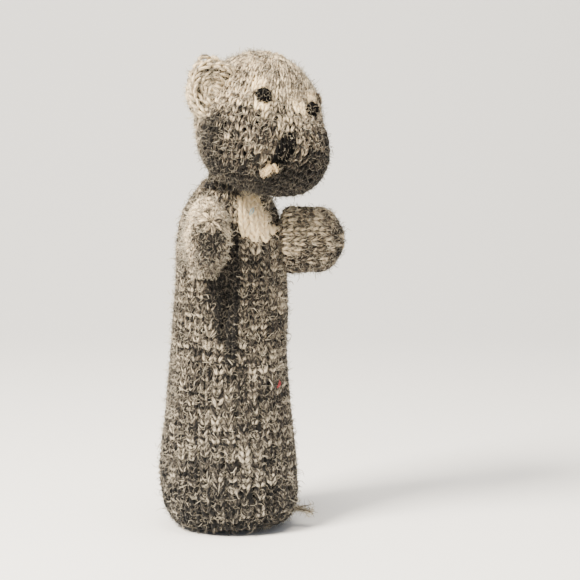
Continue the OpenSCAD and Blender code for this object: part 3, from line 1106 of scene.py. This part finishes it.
@dataclass
class Sleeve(Puppet):
    """The knitted tube, its rolled hem, its bib and the coat of fibres on it."""

    surface: SleeveSurface = field(default_factory=SleeveSurface)
    columns: int = 30
    split_z: float = 46.0
    bib_half: float = 3.7
    bib_low: float = 70.2
    bib_high: float = 81.8

    def build(self) -> None:
        """Builds the tube's hem and waist stretches and its bib."""
        surface = self.surface
        cover = surface.stitches(np.arange(0.6, surface.length - 0.3, 1.5), self.columns, 3, 0.35)
        height = cover.place[:, 2]
        # Warmer wool upwards; painted shade deepening towards the hem, and under the right arm a strip of
        # painted shadow that is partly darker yarn
        cover.warm = np.clip(0.12 + (height - 10) / 110, 0, 1)
        low = rise(-height, -22, 22)
        cover.shade = np.clip(cover.shade - 0.13 - 0.3 * low**2 - self._arm_shadow_strip(cover.place), 0, 1)
        is_bib = self._on_bib(cover.place)
        lower = height < self.split_z
        split_row = surface.row_at(self.split_z)
        for name, keep, reach in (
            ("hem", lower & ~is_bib, (0.4, split_row + 1.5)),
            ("waist", ~lower & ~is_bib, (split_row - 1.5, surface.length - 0.1)),
        ):
            knit = self.shop.lay(f"{name}_knitting", cover.pick(keep), self.finishes.marled)
            skin = self._wall(f"{name}_lining", reach)
            coats = [self.shop.fuzz(f"{name}_{kind}", knit) for kind in ("fibres", "felt", "halo")]
            bend_all([knit, skin, *coats], *BENDS[name], "marled_wool")
            if name == "hem":
                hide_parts("sleeve_lower", "hem_roll")
            else:
                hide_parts("sleeve_middle", "sleeve_upper")
        bib_rows = cover.pick(is_bib)
        bib_rows.place = bib_rows.place + bib_rows.facing * 0.5
        bib_rows.shade = np.clip(0.86 + 0.4 * (bib_rows.shade - 0.5), 0, 1)
        bib = self.shop.lay("chest_bib_knitting", bib_rows, self.finishes.cream)
        down = self.shop.fuzz("chest_bib_fibres", bib, self.finishes.down)
        ride_all([bib, down], "chest")
        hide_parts("chest_bib")

    def _on_bib(self, place: np.ndarray) -> np.ndarray:
        """Which stitches belong to the pale bib."""
        middle = (self.bib_low + self.bib_high) / 2
        up = (place[:, 2] - middle) / (self.bib_high - middle)
        across = (place[:, 0] - 0.6 + 1.2 * up) / (self.bib_half * (1 - 0.28 * up))
        return (up**2 + across**2 < 1) & (place[:, 1] < 0)

    def _arm_shadow_strip(self, place: np.ndarray) -> np.ndarray:
        """Painted shadow of the right arm, partly darker yarn too: a strip under the arm that widens upwards.
        """
        turn = np.degrees(np.arctan2(place[:, 0], -place[:, 1]))
        share = rise(place[:, 2], 44, 20)
        centre, half = -30 - 8 * share, 6 + 12 * share
        ends = rise(place[:, 2], 40, 6) * rise(-place[:, 2], -74, 4)
        return 0.95 * np.exp(-(((turn - centre) / half) ** 4)) * ends

    def _wall(self, name: str, reach: tuple[float, float]) -> bpy.types.Object:
        """Builds a stretch of wall with an outer and an inner side.

        Args:
            name: the object's name.
            reach: the stretch of rows it covers.

        Returns:
            A closed wall.
        """
        around = 64
        turn = np.linspace(0, 2 * math.pi, around, endpoint=False)
        rows = np.arange(reach[0], reach[1], 1.4)
        outer, inner = (self.surface.rings(turn, rows, sink) for sink in (0.75, 2.6))
        rings = outer + inner[::-1]
        return solid(name, np.concatenate(rings), ring_faces(len(rings), around, closed=True),
                     self.finishes.inner_shade)


@dataclass
class Head(Puppet):
    """Stuffed head with its eyes, nose, chin and crown."""

    surface: HeadSurface = field(init=False)

    def __post_init__(self) -> None:
        """Sets up the head's surface: the skull and both cheeks."""
        self.surface = HeadSurface(
            np.array(HEAD_CENTRE), spin_of((HEAD_TILT, "Y")),
            ((0.0, 1.3, 0.3, 14.7), (4.7, -7.0, -7.2, 10.3), (-5.6, -6.4, -7.0, 10.4)),
        )

    def _shade_with_painted_shadow(self, cover: Stitches) -> np.ndarray:
        """Shade of each stitch of the head, with painted shade on the lower half, underside, far cheek and
        jaw, and a painted shadow under the ear.
        """
        ear_shadow_spot, _ = self.surface.on(61.0, -22.0)
        apart = np.linalg.norm(cover.place - ear_shadow_spot, axis=1)
        local = (cover.place - self.surface.centre) @ self.surface.spin
        across, down = local[:, 0], -local[:, 2]
        shade = np.clip(cover.shade + 0.1, 0, 1)
        # Painted shade where the head turns away from the lamps: its lower half, underside, far cheek and jaw
        for depth, where in (
            (0.16, rise(down, -3.0, 5.0)),  # lower half
            (0.4, rise(down, 9.0, 5.0)),  # underside
            (0.4, rise(across, 2.0, 10.0) * rise(down, -8.0, 12.0)),  # far cheek
            (0.42, rise(across, -3.0, 5.0) * rise(down, 5.0, 8.0)),  # jaw
        ):
            shade = shade - depth * where
        # Painted shadow under the ear, on the side of the head
        return np.clip(shade - 0.75 * swell(apart, 0, 3.9), 0, 1)

    def build(self) -> None:
        """Builds the head and its features."""
        surface, shop = self.surface, self.shop

        def columns(row: float) -> int:
            """Columns of stitches, fewer towards the crown and the neck."""
            edge = min(row, surface.length - row)
            return 12 if edge < 3.4 else 24 if edge < 8.5 else 46

        cover = surface.stitches(np.arange(3.0, surface.length - 1.0, 1.55), columns, 21, 0.95)
        cover.shade = self._shade_with_painted_shadow(cover)
        patch = self._near(cover.place, ((26, 4, 2.0), (34, 26, 1.7), (-13, 13, 1.9), (-34, 26, 1.7)))
        knit = shop.lay("head_knitting", cover.pick(~patch), self.finishes.marled)
        skin = surface.skin("head_stuffed_form", np.arange(1.0, surface.length - 0.8, 1.5),
                            self.finishes.inner_shade)
        coat, halo, felt = (shop.fuzz(f"head_{kind}", knit) for kind in ("fibres", "halo", "felt"))
        ride_all([knit, skin, coat, felt, halo], "head")
        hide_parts("head_cover")
        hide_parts("head_stuffing")
        pale = cover.pick(patch)
        pale.shade = np.clip(0.95 + 0.3 * (pale.shade - 0.5), 0, 1)
        patches = shop.lay("eye_patch_knitting", pale, self.finishes.cream)
        wisps = shop.fuzz("eye_patch_fibres", patches, self.finishes.down)
        ride_all([patches, wisps], "head")
        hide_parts("right_eye_patch", "left_eye_patch")
        for name, turn in (("right_eye", 26.5), ("left_eye", -27.0)):
            self._knot(name, turn, 12.5)
        self._nose()
        self._chin()
        here, out = surface.on(0.0, 89.9, -0.3)
        pucker = self.gather("crown_gather_yarn", here, out, 2.6, 90, 0.62, 1.0)
        ride_all([pucker], "head")
        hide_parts("crown_gather")

    def _near(self, place: np.ndarray, spots: tuple[tuple[float, float, float], ...]) -> np.ndarray:
        """Which stitches lie near any of the given spots of turn, lift and radius."""
        hit = np.zeros(len(place), bool)
        for turn, lift, radius in spots:
            here, _ = self.surface.on(turn, lift)
            hit |= np.linalg.norm(place - here, axis=1) < radius
        return hit

    def _knot(self, name: str, turn: float, lift: float) -> None:
        """Builds one French knot of black wool out of three rings."""
        here, out = self.surface.on(turn, lift, -0.1)
        side = unit(np.cross(out, [0.2, 0.1, 1.0]))
        other = np.cross(out, side)
        rng = np.random.default_rng(40 + int(turn))
        steps, strands = 18, []
        rings = ((1.45, 0.5, 0.62), (0.95, 1.25, 0.60), (0.3, 1.75, 0.55))
        for ring, (radius, high, thick) in enumerate(rings):
            angle = np.linspace(0, 2 * math.pi * 1.08, steps) + ring
            wobble = rng.normal(0, 0.09, (steps, 1))
            path = (here + side * (radius * np.cos(angle))[:, None]
                    + other * (radius * np.sin(angle))[:, None]
                    + out * (high + 0.25 * np.sin(angle * 1.5))[:, None] + out * wobble)
            strands.append(strand(path, np.full(steps, thick), 8))
        knot = self.yarn(name + "_knot", strands, self.finishes.ink, 0.5, 0.5)
        ride_all([knot, self.shop.fuzz(name + "_fibres", knot)], "head")
        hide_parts(name)

    def _nose(self) -> None:
        """Builds the nose of long black satin stitches."""
        steps, strands = 9, []
        rng = np.random.default_rng(60)
        for turn in np.linspace(-4.5, 8.0, 6):
            half = 15.0 * math.sqrt(max(0.2, 1 - ((turn - 1.5) / 8.0) ** 2))
            middle = -24.0 - 0.8 * (turn - 1.5)
            path = []
            for k, lift in enumerate(np.linspace(middle - half, middle + half, steps)):
                hump = 0.95 * math.sin(math.pi * (k / (steps - 1))) ** 0.6
                here, out = self.surface.on(turn + rng.normal(0, 0.4), lift, -0.45)
                path.append(here + out * hump)
            strands.append(strand(path, 0.52 * np.sin(np.linspace(0.35, math.pi - 0.35, steps)) ** 0.5))
        nose = self.yarn("nose_stitches", strands, self.finishes.ink, 0.45, 0.5)
        ride_all([nose, self.shop.fuzz("nose_fibres", nose)], "head")
        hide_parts("nose")

    def _chin(self) -> None:
        """Builds the cream tuft under the nose."""
        strands = []
        rng = np.random.default_rng(70)
        for _ in range(5):
            turn, lift = 9.5 + rng.normal(0, 2), -36 + rng.normal(0, 2)
            here, out = self.surface.on(turn, lift, -0.3)
            end, _ = self.surface.on(turn + rng.normal(0, 5), lift - 6, 0.3)
            middle = (here + end) / 2 + out * 1.0
            path = [here, (here + middle) / 2 + out * 0.3, middle, (middle + end) / 2 + out * 0.2, end]
            strands.append(strand(path, (0.3, 0.5, 0.55, 0.45, 0.25)))
        tuft = self.yarn("chin_tuft_yarn", strands, self.finishes.cream, 0.32, 1.0)
        ride_all([tuft, self.shop.fuzz("chin_fibres", tuft, self.finishes.down)], "head")
        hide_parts("chin_tuft")


@dataclass
class Ear(Puppet):
    """One curled ear on its own fold. Angles in degrees."""

    side: str = "right"
    turn: float = 76.0
    lean: float = 30.0
    lift: float = 13.0
    dist: float = 14.7
    drop: float = 0.9
    # Curved rows of stitches: radius, height off the middle, how far they face outward along the
    # ray and the face, number of stitches, and their size
    ROWS = (
        (6.3, 0.2, (1.0, 0.1), 13, 0.95), (5.5, 1.5, (0.35, 1.0), 11, 0.9), (3.5, 0.9, (-0.25, 1.0), 8, 0.9),
        (1.9, 0.5, (0.0, 1.0), 6, 0.85), (0.3, 0.6, (0.0, 1.0), 3, 0.9), (5.3, -1.4, (0.5, -1.0), 11, 0.95),
        (3.0, -1.9, (0.1, -1.0), 7, 0.95), (0.9, -1.7, (0.0, -1.0), 4, 0.9),
    )

    def _axes(self) -> tuple[np.ndarray, np.ndarray, np.ndarray, np.ndarray]:
        """Root of the ear, the way it stands out, its length, and the way it faces."""
        sign = 1.0 if self.turn > 0 else -1.0
        tilt, fold = spin_of((HEAD_TILT, "Y")), spin_of((-sign * self.lean, "Z"))
        spin = spin_of((-self.turn, "Z"), (-self.lift, "X"))
        root = np.array(HEAD_CENTRE) + tilt @ spin @ np.array([0, -self.dist, -self.drop])
        turn = tilt @ spin @ fold
        return root, turn @ np.array([0, -1, 0]), turn @ np.array([0, 0, 1]), turn @ np.array([sign, 0, 0])

    def build(self) -> None:
        """Builds the ear's curled rows of stitches over a thin form."""
        root, out, up, face = self._axes()
        place, facing, along, size = [], [], [], []
        for radius, high, toward, number, scale in self.ROWS:
            for angle in np.linspace(-1.62, 1.62, number):
                ray = out * math.cos(angle) + up * math.sin(angle)
                # The upper and lower corners of the outline stand out
                corner = 1 + (0.26 * swell(angle, 0.8, 0.4) + 0.1 * swell(angle, -1.1, 0.5)) * radius / 6.3
                wander = self.shop.rng.normal(0, 0.22, 3)
                place.append(root + ray * radius * corner + face * high + wander)
                facing.append(unit(toward[0] * ray + toward[1] * face))
                along.append(-out * math.sin(angle) + up * math.cos(angle))
                size.append((0.82 * scale, 1.0, scale))
        count = len(place)
        seed = 200 if self.side == "right" else 230
        rows = Stitches(np.array(place), np.array(facing), np.array(along), np.array(size),
                        np.clip(marl(count, seed) + 0.3, 0, 1), np.full(count, 0.9))
        knit = self.shop.lay(f"{self.side}_ear_knitting", rows, self.finishes.marled)
        form = self._form(root, out, up, face)
        coat = self.shop.fuzz(f"{self.side}_ear_fibres", knit)
        ride_all([knit, form, coat], f"{self.side}_ear")
        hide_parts(f"{self.side}_ear")

    def _form(self, root: np.ndarray, out: np.ndarray, up: np.ndarray, face: np.ndarray) -> bpy.types.Object:
        """Builds the thin cupped form that the stitches cover."""
        rings, around = [], 24
        for share in np.linspace(0.02, 1.0, 8):
            ring = []
            for angle in np.linspace(0, 2 * math.pi, around, endpoint=False):
                ray = out * math.cos(angle) + up * math.sin(angle)
                keep = 1.0 + 0.2 * swell(angle, 0.8, 0.42) if math.cos(angle) > 0 else 0.6
                ring.append(root + ray * 5.9 * share * keep + face * (1.0 * share**2 - 0.2))
            rings.append(np.array(ring))
        back = [ring - face * (1.5 + 0.4 * (1 - i / 7)) for i, ring in enumerate(rings)]
        stack = rings + back[::-1]
        last = (len(stack) - 1) * around
        faces = [tuple(reversed(range(around))), *ring_faces(len(stack), around),
                 tuple(last + j for j in range(around))]
        return solid(f"{self.side}_ear_form", np.concatenate(stack), faces, self.finishes.inner_shade,
                     smooth=False)


@dataclass
class Arm(Puppet):
    """One stubby stuffed arm. Angles in degrees, lengths in millimetres."""

    side: str = "right"
    turn: float = 28.0
    slope: float = 8.0
    root_turn: float = 52.0
    root_dist: float = 14.5
    root_z: float = 70.5
    thick: float = 5.0
    tall: float = 7.5
    pale: float = 0.3
    # How far below the end of the arm the painted shade is centred
    painted_shade_drop: float = 3.2
    seed: int = 300

    def build(self) -> None:
        """Builds the arm from its root out to the gathered paw."""
        sign = -1.0 if self.side == "right" else 1.0
        spread, aim, slope = (math.radians(a) for a in (self.root_turn, self.turn, self.slope))
        root = np.array([sign * math.sin(spread) * self.root_dist, -math.cos(spread) * self.root_dist,
                         self.root_z])
        way = np.array([sign * math.sin(aim) * math.cos(slope), -math.cos(aim) * math.cos(slope),
                        math.sin(slope)])
        surface = ArmSurface(root, way, thick=self.thick, tall=self.tall)

        def columns(row: float) -> int:
            """Columns of stitches, fewer at the drawn-in end."""
            return 8 if surface.length - row < 3.6 else 16

        cover = surface.stitches(np.arange(0.8, surface.length - 1.2, 1.5), columns, self.seed, 0.8)
        # Painted shade in the hollow of the gathered tip and on the underside
        tip = root + way * surface.end - surface.up * self.painted_shade_drop
        painted_tip_shade = swell(np.linalg.norm(cover.place - tip, axis=1), 0, 3.8)
        painted_underside_shade = rise((root - cover.place) @ surface.up, 1.0, 6.0)
        cover.shade = np.clip(cover.shade + self.pale - 0.8 * painted_tip_shade - 0.42 * painted_underside_shade, 0, 1)
        knit = self.shop.lay(f"{self.side}_arm_knitting", cover, self.finishes.marled)
        skin = surface.skin(f"{self.side}_arm_stuffed_form", np.arange(0.4, surface.length - 0.6, 1.2),
                            self.finishes.inner_shade, around=40)
        paw = self.gather(f"{self.side}_paw_gather_yarn", root + way * (surface.end - 0.3), way, 2.3,
                          self.seed + 9, 0.6, 0.9)
        coat, halo = (self.shop.fuzz(f"{self.side}_arm_{kind}", knit) for kind in ("fibres", "halo"))
        bend_all([knit, skin, coat, halo, paw], f"{self.side}_shoulder", f"{self.side}_arm",
                 root - way * 1.5, root + way * 3.0, "marled_wool")
        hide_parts(f"{self.side}_arm_cover", f"{self.side}_arm_root")
        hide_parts(f"{self.side}_arm_stuffing")
        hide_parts(f"{self.side}_paw_gather")


@dataclass
class Neck(Puppet):
    """Gathered neck and the thread tied round it."""

    centre: tuple[float, float, float] = (0.0, -3.0, 86.2)

    def build(self) -> None:
        """Builds drawn-in folds and two turns of thread."""
        middle = np.array(self.centre)
        strands, folds_round = [], 18
        rng = np.random.default_rng(400)
        for i in range(folds_round):
            angle = 2 * math.pi * i / folds_round + rng.normal(0, 0.05)
            ray = np.array([math.sin(angle), -math.cos(angle), 0.0])
            # The upper ends reach out and up at the front and are drawn in at the back
            path = [middle + ray * reach + np.array([0, 0, high]) for reach, high in (
                (7.6, -3.2), (6.4, -1.4), (5.8, 0.0), (6.4, 1.6), (6.7 - ray[1], 2.6 - 0.8 * ray[1]))]
            strands.append(strand(path, (0.9, 1.0, 0.95, 1.0, 0.9)))
        # The folds are painted dark for the shade under the head
        folds = self.yarn("neck_folds", strands, self.finishes.marled, 0.12, 0.5)
        turns = []
        for high in (-0.4, 0.5):
            angle = np.linspace(0, 2 * math.pi, 40)
            path = np.stack([np.sin(angle) * 6.6, -np.cos(angle) * 6.6, high + 0.2 * np.sin(angle * 2)], 1)
            turns.append(strand(path + middle, np.full(40, 0.42)))
        thread = self.yarn("neck_thread_turns", turns, self.finishes.ink, 0.5, 0.5)
        down = self.shop.fuzz("neck_fibres", folds)
        ride_all([folds, down], "neck")
        ride_all([thread], "neck")
        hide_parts("neck_gather")
        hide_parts("neck_thread")


@dataclass
class LooseEnds(Puppet):
    """The yarn end at the hem and a few dyed fibres."""

    tail_turn: float = 54.0

    def build(self) -> None:
        """Builds the frayed yarn end and the stray fibres."""
        rng = np.random.default_rng(500)
        angle = math.radians(self.tail_turn)
        ray = np.array([math.sin(angle), -math.cos(angle), 0.0])
        across = np.array([math.cos(angle), math.sin(angle), 0.0])
        strands = []
        for _ in range(7):
            start = ray * 15.6 + across * rng.normal(0, 0.5) + np.array([0, 0, 4.6 + rng.normal(0, 0.3)])
            drift = across * rng.normal(0, 1.1) + np.array([0, 0, rng.normal(-0.6, 0.9)])
            path = [start + (ray * 4.6 + drift) * t**0.9 for t in np.linspace(0, 1, 5)]
            strands.append(strand(path, (0.2, 0.17, 0.13, 0.1, 0.04), 5))
        tail = self.yarn("hem_yarn_end", strands, self.finishes.marled, 0.4, 0.5)
        ride_all([tail, self.shop.fuzz("hem_yarn_end_fibres", tail)], "hem")
        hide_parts("hem_yarn_tail")
        sky = self._stray("sky_blue_stray", (-0.57, -11.7, 77.8), (0.35, 0.0, 0.94), (0.0, -1.0, 0.2),
                          self.finishes.sky)
        blue = self._stray("blue_stray", (12.6, -11.2, 63.6), (0.9, -0.4, 0.1), (-0.1, -0.3, -0.95),
                           self.finishes.blue)
        red = self._stray("red_stray", (6.7, -11.5, 36.0), (0.3, 0.2, 0.93), (0.5, -0.85, 0.0),
                          self.finishes.red)
        ride_all([sky], "chest")
        ride_all([blue], "left_arm")
        bend_all([red], *BENDS["hem"], "marled_wool")

    def _stray(self, name: str, here: tuple, along: tuple, out: tuple,
               material: bpy.types.Material) -> bpy.types.Object:
        """Builds two dyed fibres caught in the wool at one place."""
        spot, way, off = (np.array(v) for v in (here, along, out))
        side = unit(np.cross(way, off))
        strands = []
        for k in (-1, 1):
            path = [spot + way * t * 1.1 + off * (0.35 - 0.5 * t * t)
                    + side * (0.12 * k + 0.25 * math.sin(2.2 * t + k)) for t in np.linspace(-1, 1, 7)]
            strands.append(strand(path, (0.03, 0.07, 0.09, 0.09, 0.09, 0.07, 0.03), 5))
        return new_object(name, strands_mesh(name, strands), material)


# ---------------------------------------------------------------- stage


@dataclass
class Studio:
    """Floor, light and camera. Lengths in metres unless named, angles in degrees, power in watts."""

    finishes: Finishes
    azimuth: float = -28.0
    elevation: float = 6.0
    distance: float = 0.45
    field_mm: float = 141.1
    aim_high: float = 0.058
    aim_right: float = 0.0141
    bend: float = 0.35
    half_width: float = 1.6
    world: float = 0.42
    # Name, place, size, power and colour
    LAMPS = (
        ("key", (-0.44, -0.12, 0.50), 0.20, 17.0, Hue.LAMP_WARM),
        ("top", (-0.02, -0.14, 0.62), 0.22, 4.0, Hue.LAMP_WARM),
        ("fill", (0.55, -0.45, 0.25), 0.5, 0.25, Hue.LAMP_COOL),
    )

    def build(self) -> None:
        """Builds the set and points the camera."""
        a, e = math.radians(self.azimuth), math.radians(self.elevation)
        # Paper that lies flat, bends up behind the puppet and stands; square to the camera
        bend = self.bend
        sweep = [(-1.2, 0.0), (bend, 0.0)]
        sweep += [(bend + bend * math.sin(t), bend - bend * math.cos(t)) for t in np.linspace(0.1, 1.57, 12)]
        sweep += [(2 * bend, 2.2)]
        verts = [
            (side * math.cos(a) - far * math.sin(a), side * math.sin(a) + far * math.cos(a), high)
            for side in (-self.half_width, self.half_width) for far, high in sweep
        ]
        count = len(sweep)
        faces = [(i, count + i, count + i + 1, i + 1) for i in range(count - 1)]
        mesh = bpy.data.meshes.new("floor")
        mesh.from_pydata(verts, [], faces)
        mesh.polygons.foreach_set("use_smooth", [True] * len(faces))
        new_object("floor", mesh, self.finishes.floor)
        back = Vector((math.sin(a) * math.cos(e), -math.cos(a) * math.cos(e), math.sin(e)))
        right = Vector((math.cos(a), math.sin(a), 0.0))
        target = right * self.aim_right + Vector((0.0, 0.0, self.aim_high))
        camera = bpy.data.cameras.new("camera")
        camera.angle = 2 * math.atan(self.field_mm * MM / 2 / self.distance)
        camera.clip_start = 0.01
        holder = bpy.data.objects.new("camera", camera)
        bpy.context.scene.collection.objects.link(holder)
        holder.location = target + back * self.distance
        holder.rotation_euler = back.to_track_quat("Z", "Y").to_euler()
        bpy.context.scene.camera = holder
        world = bpy.data.worlds.new("studio")
        world.use_nodes = True
        sky = world.node_tree.nodes["Background"].inputs
        sky["Color"].default_value = hex_linear(Hue.LAMP_COOL)
        sky["Strength"].default_value = self.world
        bpy.context.scene.world = world
        for lamp in self.LAMPS:
            self._lamp(*lamp, target)

    def _lamp(self, name: str, place: tuple[float, float, float], size: float, power: float, hue: Hue,
              target: Vector) -> None:
        """Adds one soft area lamp aimed at the target."""
        lamp = bpy.data.lights.new(name, "AREA")
        lamp.size, lamp.energy, lamp.color = size, power, hex_linear(hue)[:3]
        holder = bpy.data.objects.new(name, lamp)
        bpy.context.scene.collection.objects.link(holder)
        holder.location = Vector(place)
        holder.rotation_euler = (Vector(place) - target).to_track_quat("Z", "Y").to_euler()


def main() -> None:
    """Builds everything in order."""
    logging.basicConfig(level=logging.INFO, format="%(message)s")
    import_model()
    finishes = Finishes()
    shop = Workshop(finishes)
    for part in (
        Sleeve(shop, finishes),
        LooseEnds(shop, finishes),
        Neck(shop, finishes),
        Head(shop, finishes),
        Ear(shop, finishes, side="right", turn=76.0, lean=30.0),
        Ear(shop, finishes, side="left", turn=-112.0, lean=20.0),
        Arm(shop, finishes, side="right", turn=18.0, slope=28.0, thick=4.6, tall=8.1),
        Arm(shop, finishes, side="left", turn=62.0, slope=0.0, pale=0.12, painted_shade_drop=0.4, seed=330),
    ):
        LOG.info("building %s", type(part).__name__)
        part.build()
    Studio(finishes).build()


if __name__ == "__main__":
    main()
